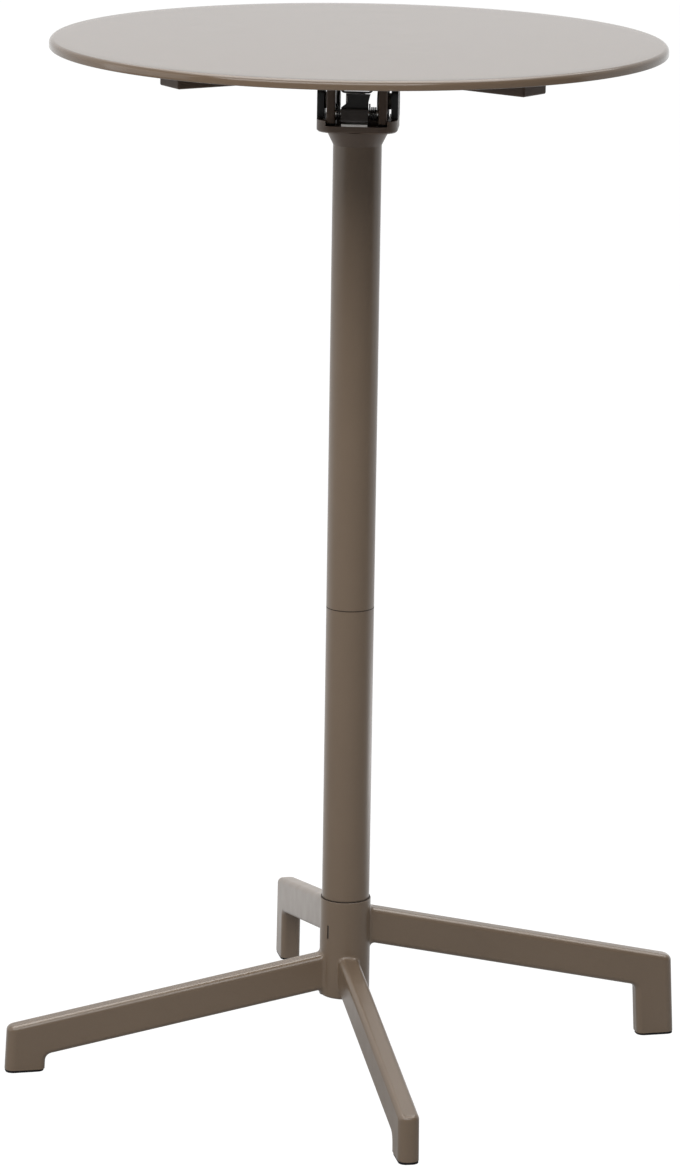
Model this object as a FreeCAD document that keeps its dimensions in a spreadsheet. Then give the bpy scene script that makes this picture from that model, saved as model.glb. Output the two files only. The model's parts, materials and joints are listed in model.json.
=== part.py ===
"""Folding bar table: a round tip-up top on a tilting head, a two-piece column and a nesting four-leg base.

Millimetres, +Z up. The origin is on the floor, on the column's axis. X runs along the tilt pivot and
-Y is the front, where the latch is.
"""
import FreeCAD, Part
import math
import operator
import os

import Sketcher

SIZES = {
    # the top
    "table_height": 1096, "top_diameter": 640, "sheet_wall": 2, "rim_depth": 9.5, "rim_round": 5,
    # the four arms under it, their bosses and screws
    "arm_angle": 34.5, "arm_start": 36, "arm_reach": 225, "arm_width": 39, "arm_depth": 34.6,
    "arm_wall": 2.5, "arm_floor": 4.5, "arm_round": 2, "boss_diameter": 12, "screw_near": 90,
    "screw_far": 185, "screw_thread": 6, "screw_grip": 18, "screw_head": 11, "screw_head_height": 2.6,
    "screw_sink": 2.8, "screw_clearance": 0.2,
    # the bracket plate between arms and posts
    "bracket_length": 130, "bracket_width": 100, "bracket_wall": 4, "bracket_round": 8,
    "bracket_screw_reach": 60, "bracket_nut_width": 10, "bracket_nut_height": 5, "notch_width": 26,
    "notch_depth": 36,
    # the posts and the tilt pivot
    "post_gap": 44.6, "post_wall": 9, "post_front": 28, "post_drop": 43, "post_round": 2,
    "pivot_setback": 15.5, "pivot_drop": 24.7, "pivot_diameter": 10, "pivot_fit": 0.05,
    "bush_wall": 1.5, "bush_play": 0.3, "bush_flange_diameter": 17, "pivot_head": 16,
    "pivot_head_height": 3.6, "pivot_socket": 6, "pivot_socket_depth": 2.6, "pivot_recess": 4,
    "pivot_recess_gap": 0.5, "pivot_end_gap": 0.4, "pivot_cap": 22, "pivot_cap_height": 3,
    "pivot_cap_bevel": 0.8,
    # the ears
    "ear_gap": 3.6, "ear_wall": 7.1, "ear_eye": 15.4, "ear_front": 11, "ear_round": 6,
    "ear_screw_front": 3.5, "ear_screw_back": 23.5, "ear_thread": 4, "ear_grip": 9, "ear_head": 6,
    "ear_head_height": 3.5,
    # the head
    "stop_gap": 2.6, "sill_depth": 5.3, "sill_back": 11, "post_play": 0.6, "block_rise": 3.9,
    "block_bevel": 1, "cup_depth": 12.5, "cup_front": 33.5, "cup_back": 33.5, "cup_front_round": 21,
    "cup_back_round": 7, "cup_bevel": 1.5, "neck_height": 15.3, "neck_diameter": 66,
    "spigot_length": 45, "spigot_fit": 0.1, "bumper_diameter": 9, "bumper_gap": 0.3,
    "bumper_forward": 18, "peg_diameter": 4, "peg_length": 4,
    # the strike plate
    "strike_foot_width": 27, "strike_width": 20, "strike_wall": 2.5, "strike_front": 33,
    "strike_face": 14, "strike_rise": 30.6, "window_width": 13, "window_rise": 25.6,
    "window_height": 6.2, "strike_screw_spacing": 16, "strike_screw_forward": 22, "strike_thread": 3,
    "strike_grip": 8, "strike_head": 5.5, "strike_head_height": 1.5,
    # the latch
    "latch_forward": 22, "latch_shift": 2, "blade_shift": 1.5, "latch_rise": 10.2, "latch_pin": 6,
    "latch_pin_fit": 0.05, "barrel_diameter": 12.4, "paddle_width": 28, "lever_width": 21,
    "lever_top_width": 25, "lever_wall": 3.5, "lever_front": 27.5, "lever_height": 20.5,
    "lever_flare": 12, "nose_width": 12, "nose_rise": 15, "nose_height": 4, "nose_gap": 2.6,
    "paddle_front": 34, "paddle_slope": 3, "paddle_low": 7.7, "paddle_high": 5.5, "paddle_round": 1.5,
    "spring_wire": 1.6, "spring_radius": 6.2, "spring_pitch": 2, "spring_front_leg": 11,
    "spring_back_leg": 9, "spring_side_gap": 1.2, "keeper_wire": 2.2, "keeper_reach": 16,
    "keeper_bend": 4, "keeper_forward": 29, "keeper_drop": 10.1,
    # the column
    "tube_diameter": 50.8, "tube_wall": 2, "seam_height": 494, "seam_bevel": 0.5, "sleeve_length": 120,
    "sleeve_wall": 3, "sleeve_fit": 0.1, "rod_diameter": 10, "rod_grip": 30, "rod_fit": 0.2,
    "rod_tail": 12, "nut_width": 17, "nut_height": 8, "washer_diameter": 24, "washer_wall": 2,
    # the hub
    "hub_diameter": 54, "hub_low": 65, "hub_top": 173.5, "hub_socket": 60, "hub_socket_fit": 0.1,
    "hub_web": 22, "hub_round": 4, "hub_lip_round": 0.6, "plug_diameter": 36, "plug_wall": 3,
    "plug_skirt": 6, "plug_fit": 0.1, "slot_angle": 230, "slot_width": 2.2, "slot_length": 15,
    "slot_drop": 27, "key_gap": 0.15, "key_sink": 0.5,
    # the legs
    "side_turn": 16.5, "end_turn": 13.8, "leg_reach": 370.5, "leg_width": 22, "leg_depth": 39.4,
    "leg_round": 6, "toe_round": 9.5, "bend_round": 8, "leg_root": 5, "foot_length": 42,
    "foot_splay": 3, "low_foot_top": 49.8, "low_root_drop": 61.9, "high_foot_top": 88.1,
    "high_root_drop": 11.5, "glide_height": 2.5, "glide_inset": 0.6, "glide_round": 8, "glide_peg": 8,
    "glide_peg_length": 9, "glide_peg_fit": 0.1,
}

OPERATIONS = {"+": operator.add, "-": operator.sub, "*": operator.mul, "/": operator.truediv}


class Size:
    """A length or an angle: its present value and the expression that ties it to the sheet."""

    def __init__(self, number, text):
        self.number = number
        self.text = text

    def __add__(self, other):
        return combine(self, "+", other)

    def __radd__(self, other):
        return combine(other, "+", self)

    def __sub__(self, other):
        return combine(self, "-", other)

    def __rsub__(self, other):
        return combine(other, "-", self)

    def __mul__(self, other):
        return combine(self, "*", other)

    def __rmul__(self, other):
        return combine(other, "*", self)

    def __truediv__(self, other):
        return combine(self, "/", other)

    def __neg__(self):
        return combine(0, "-", self)

    def __float__(self):
        return float(self.number)


def as_size(value):
    """A plain number as a size that no cell drives."""
    return value if isinstance(value, Size) else Size(float(value), f"({float(value)})")


def combine(left, sign, right):
    """Two sizes joined by one of the four operations."""
    left, right = as_size(left), as_size(right)
    return Size(OPERATIONS[sign](left.number, right.number), f"({left.text} {sign} {right.text})")


def trig(name, angle):
    """Sine, cosine or tangent of an angle in degrees."""
    return Size(getattr(math, name)(math.radians(angle.number)), f"{name}({angle.text})")


def make_sheet(document):
    """The sheet of driving sizes: names in the first column, numbers in the second."""
    sheet = document.addObject("Spreadsheet::Sheet", "sizes")
    for row, (alias, number) in enumerate(SIZES.items(), start=1):
        sheet.set(f"A{row}", alias)
        sheet.set(f"B{row}", str(number))
        sheet.setAlias(f"B{row}", alias)
    document.recompute()
    return sheet


doc = FreeCAD.newDocument("folding_bar_table")
size_sheet = make_sheet(doc)
D = {alias: Size(float(size_sheet.get(alias)), f"sizes.{alias}") for alias in SIZES}
nodes = []

# Levels, from the tabletop down
under_z = D["table_height"] - D["sheet_wall"]
arm_z = under_z - D["arm_depth"]
arm_floor_z = arm_z + D["arm_floor"]
screw_seat_z = arm_z + D["screw_sink"]
plate_z = arm_z - D["bracket_wall"]
post_z = plate_z - D["post_drop"]
sill_z = post_z - D["stop_gap"]
cup_z = sill_z + D["sill_depth"]
shoulder_z = cup_z - D["cup_depth"]
collar_z = shoulder_z - D["neck_height"]
spigot_z = collar_z - D["spigot_length"]

# The pivots, as (y, z)
pivot_y, pivot_z = D["pivot_setback"], plate_z - D["pivot_drop"]
latch_y, latch_z = -D["latch_forward"], post_z + D["latch_rise"]
post_eye = D["post_drop"] - D["pivot_drop"]
latch_x = -D["latch_shift"]
blade_x = D["blade_shift"]
pivot_r = D["pivot_diameter"] / 2
pin_r = D["latch_pin"] / 2

# Distances from the middle plane to the side faces of posts and ears
post_in = D["post_gap"] / 2
post_out = post_in + D["post_wall"]
ear_in = post_out + D["ear_gap"]
ear_out = ear_in + D["ear_wall"]

# Levels and radii of the column and the hub
tube_r = D["tube_diameter"] / 2
tube_bore_r = tube_r - D["tube_wall"]
hub_r = D["hub_diameter"] / 2
socket_z = D["hub_top"] - D["hub_socket"]
web_z = socket_z - D["hub_web"]
rod_r = D["rod_diameter"] / 2
ARM_ANGLES = {"arm_back_right": D["arm_angle"], "arm_back_left": 180 - D["arm_angle"],
              "arm_front_left": 180 + D["arm_angle"], "arm_front_right": 360 - D["arm_angle"]}
LEGS = {"right": (D["side_turn"], "high"), "back": (D["end_turn"] + 90, "high"),
        "left": (D["side_turn"] + 180, "low"), "front": (D["end_turn"] + 270, "low")}
SIDES = {"left": -1, "right": 1}
SPRING_QUARTER_TURNS = {"left": 6, "right": 14}


def keep(item):
    """Counts a finished document object as a sub-part."""
    nodes.append(item)
    return item


def new_body(label):
    """An empty body for one sub-part."""
    body = doc.addObject("PartDesign::Body", label)
    body.Label = label
    return keep(body)


def bind(item, path, size):
    """Ties a property to a size."""
    size = as_size(size)
    if "sizes." in size.text:
        item.setExpression(path, size.text)


def tie_point(sketch, geometry, position, point):
    """Ties one point of a sketch to its two lengths."""
    for kind, length in zip(("DistanceX", "DistanceY"), point):
        length = as_size(length)
        rule = Sketcher.Constraint(kind, -1, 1, geometry, position, length.number)
        bind(sketch, f"Constraints[{sketch.addConstraint(rule)}]", length)


def polygon(*points):
    """A drawing of straight edges through the points."""
    def draw(sketch):
        corners = [FreeCAD.Vector(float(x), float(y), 0) for x, y in points]
        first = sketch.GeometryCount
        for start, end in zip(corners, corners[1:] + corners[:1]):
            sketch.addGeometry(Part.LineSegment(start, end), False)
        for index, point in enumerate(points):
            following = first + (index + 1) % len(points)
            sketch.addConstraint(Sketcher.Constraint("Coincident", first + index, 2, following, 1))
            tie_point(sketch, first + index, 1, point)
    return draw


def rectangle(low_x, low_y, high_x, high_y):
    """A drawing of a rectangle between two corners."""
    return polygon((low_x, low_y), (high_x, low_y), (high_x, high_y), (low_x, high_y))


def circles(radius, *centres):
    """A drawing of equal circles."""
    def draw(sketch):
        for x, y in centres:
            place = FreeCAD.Vector(float(x), float(y), 0)
            ring = Part.Circle(place, FreeCAD.Vector(0, 0, 1), float(radius))
            geometry = sketch.addGeometry(ring, False)
            tie_point(sketch, geometry, 3, (x, y))
            rule = Sketcher.Constraint("Radius", geometry, float(radius))
            bind(sketch, f"Constraints[{sketch.addConstraint(rule)}]", radius)
    return draw


def sketch_on(body, plane, start, draw):
    """A sketch on one of the body's own planes, moved along the plane's normal by start."""
    sketch = body.newObject("Sketcher::SketchObject", body.Label + "_sketch")
    support = next(item for item in body.Origin.OriginFeatures if item.Role == plane)
    sketch.AttachmentSupport = [(support, "")]
    sketch.MapMode = "FlatFace"
    bind(sketch, "AttachmentOffset.Base.z", start)
    draw(sketch)
    return sketch


def pad(body, plane, start, length, draw):
    """Adds the drawing, carried along the plane's normal. The XZ plane's normal is -Y."""
    feature = body.newObject("PartDesign::Pad", body.Label + "_pad")
    feature.Profile = sketch_on(body, plane, start, draw)
    bind(feature, "Length", length)
    doc.recompute()


def pocket(body, plane, start, length, draw):
    """Cuts the drawing away, carried against the plane's normal, and checks that it cut."""
    before = body.Shape.Volume
    feature = body.newObject("PartDesign::Pocket", body.Label + "_pocket")
    feature.Profile = sketch_on(body, plane, start, draw)
    bind(feature, "Length", length)
    doc.recompute()
    if not body.Shape.Volume < before:
        raise RuntimeError(f"a pocket of {body.Label} cuts nothing")


def revolve(body, *points):
    """Turns an outline of (radius, z) points about the Z axis."""
    feature = body.newObject("PartDesign::Revolution", body.Label + "_turned")
    sketch = sketch_on(body, "XZ_Plane", 0, polygon(*points))
    feature.Profile = sketch
    feature.ReferenceAxis = (sketch, ["V_Axis"])
    feature.Angle = 360
    doc.recompute()


def soften(body, kind, prop, amount, chosen):
    """Fillets or chamfers those edges of the body that the test chooses."""
    base = body.Tip
    names = [f"Edge{index}" for index, edge in enumerate(base.Shape.Edges, start=1) if chosen(edge)]
    if not names:
        raise RuntimeError(f"no edge of {body.Label} to soften")
    feature = body.newObject(kind, body.Label + "_soft")
    feature.Base = (base, names)
    bind(feature, prop, amount)
    doc.recompute()


def fillet(body, radius, chosen):
    """Rounds the chosen edges."""
    soften(body, "PartDesign::Fillet", "Radius", radius, chosen)


def chamfer(body, amount, chosen):
    """Bevels the chosen edges."""
    soften(body, "PartDesign::Chamfer", "Size", amount, chosen)


def near(value, size):
    """Whether a measured coordinate is at a size."""
    return abs(value - float(size)) < 1e-4


def along(edge, axis):
    """Whether a straight edge runs along X, Y or Z."""
    box = edge.BoundBox
    spans = {"X": box.XLength, "Y": box.YLength, "Z": box.ZLength}
    longest = spans.pop(axis)
    return edge.Curve.TypeId == "Part::GeomLine" and longest > 1e-3 and max(spans.values()) < 1e-4


def ring_at(edge, radius, z):
    """Whether an edge is the circle of that radius about the Z axis at that level."""
    circle = edge.Curve
    if circle.TypeId != "Part::GeomCircle":
        return False
    centred = math.hypot(*circle.Center[:2]) < 1e-4
    return centred and near(circle.Radius, radius) and near(edge.BoundBox.Center.z, z)


def turn_body(body, angle):
    """Turns a finished body about the Z axis."""
    turned = FreeCAD.Rotation(FreeCAD.Vector(0, 0, 1), float(angle))
    body.Placement = FreeCAD.Placement(FreeCAD.Vector(0, 0, 0), turned)
    bind(body, "Placement.Rotation.Angle", angle)


def group(label, shapes):
    """One node for like pieces, each a separate solid."""
    item = doc.addObject("Part::Feature", label)
    item.Label = label
    item.Shape = Part.makeCompound(list(shapes))
    item.Placement = FreeCAD.Placement()
    return keep(item)


def single(label, shape):
    """One node for a piece whose shape is worked out here."""
    item = doc.addObject("Part::Feature", label)
    item.Label = label
    item.Shape = shape
    item.Placement = FreeCAD.Placement()
    return keep(item)


def rod(radius, start, end):
    """A cylinder between two points."""
    start, end = (FreeCAD.Vector(*map(float, point)) for point in (start, end))
    return Part.makeCylinder(float(radius), (end - start).Length, start, end - start)


def hexagon(width, low_z, high_z, x=0, y=0):
    """An upright hexagonal prism of the given width across its flats."""
    corner = float(width) / math.sqrt(3)
    points = [FreeCAD.Vector(float(x) + corner * math.cos(math.radians(60 * turn)),
                             float(y) + corner * math.sin(math.radians(60 * turn)), float(low_z))
              for turn in range(6)]
    face = Part.Face(Part.makePolygon(points + points[:1]))
    return face.extrude(FreeCAD.Vector(0, 0, float(high_z) - float(low_z)))


def hexagon_along_x(width, start, end):
    """A hexagonal prism along X between two points."""
    x, y, z = map(float, start)
    corner = float(width) / math.sqrt(3)
    points = [FreeCAD.Vector(x, y + corner * math.cos(math.radians(60 * turn)),
                             z + corner * math.sin(math.radians(60 * turn))) for turn in range(6)]
    face = Part.Face(Part.makePolygon(points + points[:1]))
    return face.extrude(FreeCAD.Vector(float(end[0]) - x, 0, 0))


def screw(x, y, seat_z, thread, grip, head, head_height, up=1):
    """A socket screw whose head bears on seat_z and whose thread runs up (1) or down (-1)."""
    seat, tip = seat_z, seat_z + up * grip
    outer = seat_z - up * head_height
    socket_bottom = seat_z - up * head_height / 3
    low, high = sorted((float(outer), float(socket_bottom)))
    body = rod(head / 2, (x, y, outer), (x, y, seat)).fuse(rod(thread / 2, (x, y, seat), (x, y, tip)))
    return body.removeSplitter().cut(hexagon(thread * 0.6, low, high, x, y))


def polar(reach, angle):
    """A point at a reach from the Z axis, in the direction of an angle."""
    return reach * trig("cos", angle), reach * trig("sin", angle)


def make_tabletop():
    """The pressed sheet with its rounded edge and short hem."""
    body = new_body("tabletop")
    radius = D["top_diameter"] / 2
    inner = radius - D["sheet_wall"]
    hem_z = D["table_height"] - D["rim_depth"]
    revolve(body, (0, under_z), (inner, under_z), (inner, hem_z), (radius, hem_z),
            (radius, D["table_height"]), (0, D["table_height"]))
    fillet(body, D["rim_round"], lambda edge: ring_at(edge, radius, D["table_height"]))
    fillet(body, D["rim_round"] - D["sheet_wall"], lambda edge: ring_at(edge, inner, under_z))


def make_arms():
    """Four channels, open towards the sheet, with closed ends."""
    half = D["arm_width"] / 2
    wall = D["arm_wall"]
    hole_r = (D["screw_thread"] + D["screw_clearance"]) / 2
    for label, angle in ARM_ANGLES.items():
        body = new_body(label)
        pad(body, "XY_Plane", arm_z, D["arm_depth"], rectangle(D["arm_start"], -half, D["arm_reach"], half))
        fillet(body, D["arm_round"], lambda edge: near(edge.BoundBox.Center.z, arm_z) or along(edge, "Z"))
        channel = rectangle(D["arm_start"] + wall, wall - half, D["arm_reach"] - wall, half - wall)
        pocket(body, "XY_Plane", under_z, D["arm_depth"] - D["arm_floor"], channel)
        holes = [(D[reach], 0) for reach in ("bracket_screw_reach", "screw_near", "screw_far")]
        pocket(body, "XY_Plane", arm_floor_z, D["arm_floor"], circles(hole_r, *holes))
        sunk = circles((D["screw_head"] + D["screw_clearance"]) / 2, *holes[1:])
        pocket(body, "XY_Plane", screw_seat_z, D["screw_sink"], sunk)
        turn_body(body, angle)


def make_arm_fasteners():
    """Bosses welded under the sheet, and the screws, sunk in the arms, that hold the arms to them."""
    reaches = (D["screw_near"], D["screw_far"])
    places = [polar(reach, angle) for angle in ARM_ANGLES.values() for reach in reaches]
    hole_r = D["screw_thread"] / 2
    bosses = []
    screws = []
    for x, y in places:
        boss = rod(D["boss_diameter"] / 2, (x, y, arm_floor_z), (x, y, under_z))
        bosses.append(boss.cut(rod(hole_r, (x, y, arm_floor_z), (x, y, screw_seat_z + D["screw_grip"]))))
        screws.append(screw(x, y, screw_seat_z, D["screw_thread"], D["screw_grip"], D["screw_head"],
                            D["screw_head_height"]))
    group("top_bosses", bosses)
    group("arm_screws", screws)


def make_bracket():
    """The plate under the arms, notched for the latch, with its screws and nuts."""
    half_x, half_y = D["bracket_length"] / 2, D["bracket_width"] / 2
    places = [polar(D["bracket_screw_reach"], angle) for angle in ARM_ANGLES.values()]
    body = new_body("bracket_plate")
    pad(body, "XY_Plane", plate_z, D["bracket_wall"], rectangle(-half_x, -half_y, half_x, half_y))
    fillet(body, D["bracket_round"], lambda edge: along(edge, "Z"))
    notch = D["notch_width"] / 2
    keeper_places = [(side * D["keeper_reach"], -D["keeper_forward"]) for side in (-1, 1)]
    openings = (rectangle(-notch, -half_y, notch, D["notch_depth"] - half_y),
                circles((D["screw_thread"] + D["screw_clearance"]) / 2, *places),
                circles(D["keeper_wire"] / 2, *keeper_places))
    for opening in openings:
        pocket(body, "XY_Plane", arm_z, D["bracket_wall"], opening)
    grip = D["bracket_wall"] + D["arm_floor"] + D["bracket_nut_height"] + 1
    group("bracket_screws", [screw(x, y, plate_z, D["screw_thread"], grip, D["screw_head"],
                                   D["screw_head_height"]) for x, y in places])
    nut_top = arm_floor_z + D["bracket_nut_height"]
    group("bracket_nuts", [hexagon(D["bracket_nut_width"], arm_floor_z, nut_top, x, y).cut(
        rod(D["screw_thread"] / 2, (x, y, arm_floor_z), (x, y, nut_top))) for x, y in places])


def make_posts():
    """Two steel flats that hang from the bracket plate and carry the pivot and the latch pin."""
    for name, side in SIDES.items():
        body = new_body(f"post_{name}")
        start = post_in if side > 0 else -post_out
        back_y = pivot_y + post_eye
        pad(body, "YZ_Plane", start, D["post_wall"],
            polygon((-D["post_front"], plate_z), (-D["post_front"], post_z), (pivot_y, post_z),
                    (pivot_y, pivot_z), (back_y, pivot_z), (back_y, plate_z)))
        pad(body, "YZ_Plane", start, D["post_wall"], circles(post_eye, (pivot_y, pivot_z)))
        fillet(body, D["post_round"],
               lambda edge: along(edge, "Z") and near(edge.BoundBox.Center.y, -D["post_front"]))
        end = start + D["post_wall"]
        pocket(body, "YZ_Plane", end, D["post_wall"], circles(pivot_r + D["bush_wall"], (pivot_y, pivot_z)))
        pocket(body, "YZ_Plane", end, D["post_wall"], circles(pin_r, (latch_y, latch_z)))


def make_pivot():
    """A screw in each ear whose plain end carries a post, with a flanged bush and a cap in each post."""
    bushes = []
    caps = []
    screws = []
    hole_r = pivot_r + D["pivot_fit"]
    flange_x = ear_in - D["bush_play"]
    seat_x = ear_out - D["pivot_recess"]
    head_x = seat_x + D["pivot_head_height"]
    socket_x = head_x - D["pivot_socket_depth"]
    end_x = post_in + D["pivot_end_gap"]
    cap_x = post_in - D["pivot_cap_height"]
    for side in SIDES.values():
        cap, inner, end, face, flange, seat, socket, head = (
            (side * x, pivot_y, pivot_z)
            for x in (cap_x, post_in, end_x, post_out, flange_x, seat_x, socket_x, head_x))
        barrel = rod(pivot_r + D["bush_wall"], inner, face)
        collar = rod(D["bush_flange_diameter"] / 2, face, flange)
        bushes.append(barrel.fuse(collar).removeSplitter().cut(rod(hole_r, inner, flange)))
        shank = rod(pivot_r, end, seat).fuse(rod(D["pivot_head"] / 2, seat, head)).removeSplitter()
        screws.append(shank.cut(hexagon_along_x(D["pivot_socket"], socket, head)))
        disc = rod(D["pivot_cap"] / 2, cap, inner)
        rim = [edge for edge in disc.Edges if edge.Closed and near(edge.BoundBox.Center.x, cap[0])]
        caps.append(disc.makeChamfer(float(D["pivot_cap_bevel"]), rim))
    group("pivot_bushes", bushes)
    group("pivot_caps", caps)
    group("pivot_screws", screws)


def ear_screw_places():
    """Where the screws go up through the cup into the ears."""
    middle = (ear_in + ear_out) / 2
    return [(side * middle, y) for side in (-1, 1) for y in (-D["ear_screw_front"], D["ear_screw_back"])]


def make_ears():
    """Two black ears that stand on the cup outside the posts and hold the pivot screws."""
    top_z = pivot_z + D["ear_eye"]
    back_y = pivot_y + D["ear_eye"]
    front_y = -D["ear_front"]
    for name, side in SIDES.items():
        body = new_body(f"ear_{name}")
        start = ear_in if side > 0 else -ear_out
        pad(body, "YZ_Plane", start, D["ear_wall"],
            polygon((front_y, cup_z), (back_y, cup_z), (back_y, pivot_z), (pivot_y, pivot_z),
                    (pivot_y, top_z), (front_y, top_z)))
        pad(body, "YZ_Plane", start, D["ear_wall"], circles(D["ear_eye"], (pivot_y, pivot_z)))
        fillet(body, D["ear_round"],
               lambda edge: along(edge, "X") and near(edge.BoundBox.Center.y, front_y)
               and near(edge.BoundBox.Center.z, top_z))
        bore = circles(pivot_r, (pivot_y, pivot_z))
        recess = circles(D["pivot_head"] / 2 + D["pivot_recess_gap"], (pivot_y, pivot_z))
        pocket(body, "YZ_Plane", start + D["ear_wall"], D["ear_wall"], bore)
        recess_end = ear_out if side > 0 else D["pivot_recess"] - ear_out
        pocket(body, "YZ_Plane", recess_end, D["pivot_recess"], recess)
        places = [place for place in ear_screw_places() if place[0].number * side > 0]
        threads = circles(D["ear_thread"] / 2, *places)
        pocket(body, "XY_Plane", cup_z + D["ear_grip"], D["ear_grip"], threads)
    seat_z = shoulder_z + D["ear_head_height"]
    group("ear_screws", [screw(x, y, seat_z, D["ear_thread"], cup_z - seat_z + D["ear_grip"], D["ear_head"],
                               D["ear_head_height"]) for x, y in ear_screw_places()])


def bumper_places():
    """Where the stops stand under the posts."""
    return [(side * (post_in + post_out) / 2, -D["bumper_forward"]) for side in (-1, 1)]


def strike_screw_places():
    """Where the strike plate is screwed to the sill."""
    return [(latch_x + side * D["strike_screw_spacing"] / 2, -D["strike_screw_forward"]) for side in (-1, 1)]


def make_head():
    """The cast head: a cup with a sill, a slot for each post and a block between, a neck and a spigot."""
    body = new_body("head_socket")
    cup = rectangle(-ear_out, -D["cup_front"], ear_out, D["cup_back"])
    pad(body, "XY_Plane", shoulder_z, D["cup_depth"], cup)
    fillet(body, D["cup_front_round"], lambda edge: along(edge, "Z") and edge.BoundBox.YMax < 0)
    fillet(body, D["cup_back_round"],
           lambda edge: along(edge, "Z") and near(edge.BoundBox.Center.y, D["cup_back"]))
    chamfer(body, D["cup_bevel"], lambda edge: near(edge.BoundBox.ZMax, shoulder_z))
    spigot_r = tube_bore_r - D["spigot_fit"]
    revolve(body, (0, spigot_z), (spigot_r, spigot_z), (spigot_r, collar_z), (tube_r, collar_z),
            (D["neck_diameter"] / 2, shoulder_z), (0, shoulder_z))
    slot_in, slot_out = post_in - D["post_play"], post_out + D["post_play"]
    front_y, sill_y, back_y = -D["cup_front"], -D["sill_back"], D["cup_back"]
    for opening in (rectangle(-slot_out, front_y, slot_out, sill_y),
                    rectangle(slot_in, sill_y, slot_out, back_y),
                    rectangle(-slot_out, sill_y, -slot_in, back_y)):
        pocket(body, "XY_Plane", cup_z, D["sill_depth"], opening)
    block_z = cup_z + D["block_rise"]
    pad(body, "XY_Plane", cup_z, D["block_rise"], rectangle(-slot_in, sill_y, slot_in, back_y))
    chamfer(body, D["block_bevel"], lambda edge: near(edge.BoundBox.ZMin, block_z))
    pocket(body, "XY_Plane", spigot_z + D["rod_grip"], D["rod_grip"], circles(rod_r, (0, 0)))
    pocket(body, "XY_Plane", sill_z, D["peg_length"], circles(D["peg_diameter"] / 2, *bumper_places()))
    pocket(body, "XY_Plane", cup_z, D["cup_depth"],
           circles((D["ear_thread"] + D["screw_clearance"]) / 2, *ear_screw_places()))
    pocket(body, "XY_Plane", shoulder_z + D["ear_head_height"], D["ear_head_height"],
           circles((D["ear_head"] + D["screw_clearance"]) / 2, *ear_screw_places()))
    threads = circles(D["strike_thread"] / 2, *strike_screw_places())
    pocket(body, "XY_Plane", sill_z, D["strike_grip"], threads)


def make_bumpers():
    """Rubber stops that the posts come down on."""
    stops = []
    top_z = post_z - D["bumper_gap"]
    for x, y in bumper_places():
        stop = rod(D["bumper_diameter"] / 2, (x, y, sill_z), (x, y, top_z))
        peg = rod(D["peg_diameter"] / 2, (x, y, sill_z - D["peg_length"]), (x, y, sill_z))
        stops.append(stop.fuse(peg).removeSplitter())
    group("stop_bumpers", stops)


def make_strike():
    """The bright angle plate: a foot on the sill and an upright with a window for the latch's nose."""
    body = new_body("strike_plate")
    foot, upright = D["strike_foot_width"] / 2, D["strike_width"] / 2
    face_y = -D["strike_face"]
    back_y = face_y + D["strike_wall"]
    foot_z = sill_z + D["strike_wall"]
    top_z = post_z + D["strike_rise"]
    pad(body, "YZ_Plane", latch_x - foot, D["strike_foot_width"],
        rectangle(-D["strike_front"], sill_z, back_y, foot_z))
    pad(body, "YZ_Plane", latch_x - upright, D["strike_width"], rectangle(face_y, sill_z, back_y, top_z))
    window = D["window_width"] / 2
    window_z = post_z + D["window_rise"]
    pocket(body, "XZ_Plane", -face_y, D["strike_wall"],
           rectangle(latch_x - window, window_z - D["window_height"] / 2, latch_x + window,
                     window_z + D["window_height"] / 2))
    for width, depth in (("strike_thread", "strike_wall"), ("strike_head", "strike_head_height")):
        pocket(body, "XY_Plane", foot_z, D[depth], circles(D[width] / 2, *strike_screw_places()))
    seat_z = foot_z - D["strike_head_height"]
    grip = seat_z - sill_z + D["strike_grip"]
    group("strike_screws", [screw(x, y, seat_z, D["strike_thread"], grip, D["strike_head"],
                                  D["strike_head_height"], up=-1) for x, y in strike_screw_places()])


def make_latch():
    """The lever on its barrel with a nose at the back, and the thumb paddle in front."""
    barrel_r = D["barrel_diameter"] / 2
    half = D["paddle_width"] / 2
    left_x, right_x = latch_x - half, latch_x + half
    blade, blade_top = D["lever_width"] / 2, D["lever_top_width"] / 2
    front_y = -D["lever_front"]
    back_y = front_y + D["lever_wall"]
    top_z = latch_z + D["lever_height"]
    flare_z = latch_z + D["lever_flare"]
    lever = new_body("latch_lever")
    pad(lever, "YZ_Plane", left_x, D["paddle_width"], circles(barrel_r, (latch_y, latch_z)))
    pad(lever, "XZ_Plane", -back_y, D["lever_wall"],
        polygon((left_x, latch_z), (right_x, latch_z), (right_x, latch_z + barrel_r),
                (blade_x + blade, flare_z), (blade_x + blade_top, top_z), (blade_x - blade_top, top_z),
                (blade_x - blade, flare_z), (left_x, latch_z + barrel_r)))
    nose = D["nose_width"] / 2
    nose_z = latch_z + D["nose_rise"]
    tip_y = -D["strike_face"] - D["nose_gap"]
    pad(lever, "YZ_Plane", latch_x - nose, D["nose_width"],
        rectangle(back_y, nose_z, tip_y, nose_z + D["nose_height"]))
    bore = circles(pin_r + D["latch_pin_fit"], (latch_y, latch_z))
    pocket(lever, "YZ_Plane", right_x, D["paddle_width"], bore)
    paddle = new_body("latch_paddle")
    low_z, high_z = latch_z - D["paddle_low"], latch_z + D["paddle_high"]
    pad(paddle, "YZ_Plane", left_x, D["paddle_width"],
        polygon((-D["paddle_front"], low_z), (latch_y, low_z), (latch_y, latch_z), (front_y, latch_z),
                (front_y, high_z), (D["paddle_slope"] - D["paddle_front"], high_z)))
    fillet(paddle, D["paddle_round"],
           lambda edge: along(edge, "X") and edge.BoundBox.YMax < front_y.number - 1)
    pocket(paddle, "YZ_Plane", right_x, D["paddle_width"], circles(barrel_r, (latch_y, latch_z)))
    reach = post_out
    single("latch_pin", rod(pin_r, (-reach, latch_y, latch_z), (reach, latch_y, latch_z)))


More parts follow.
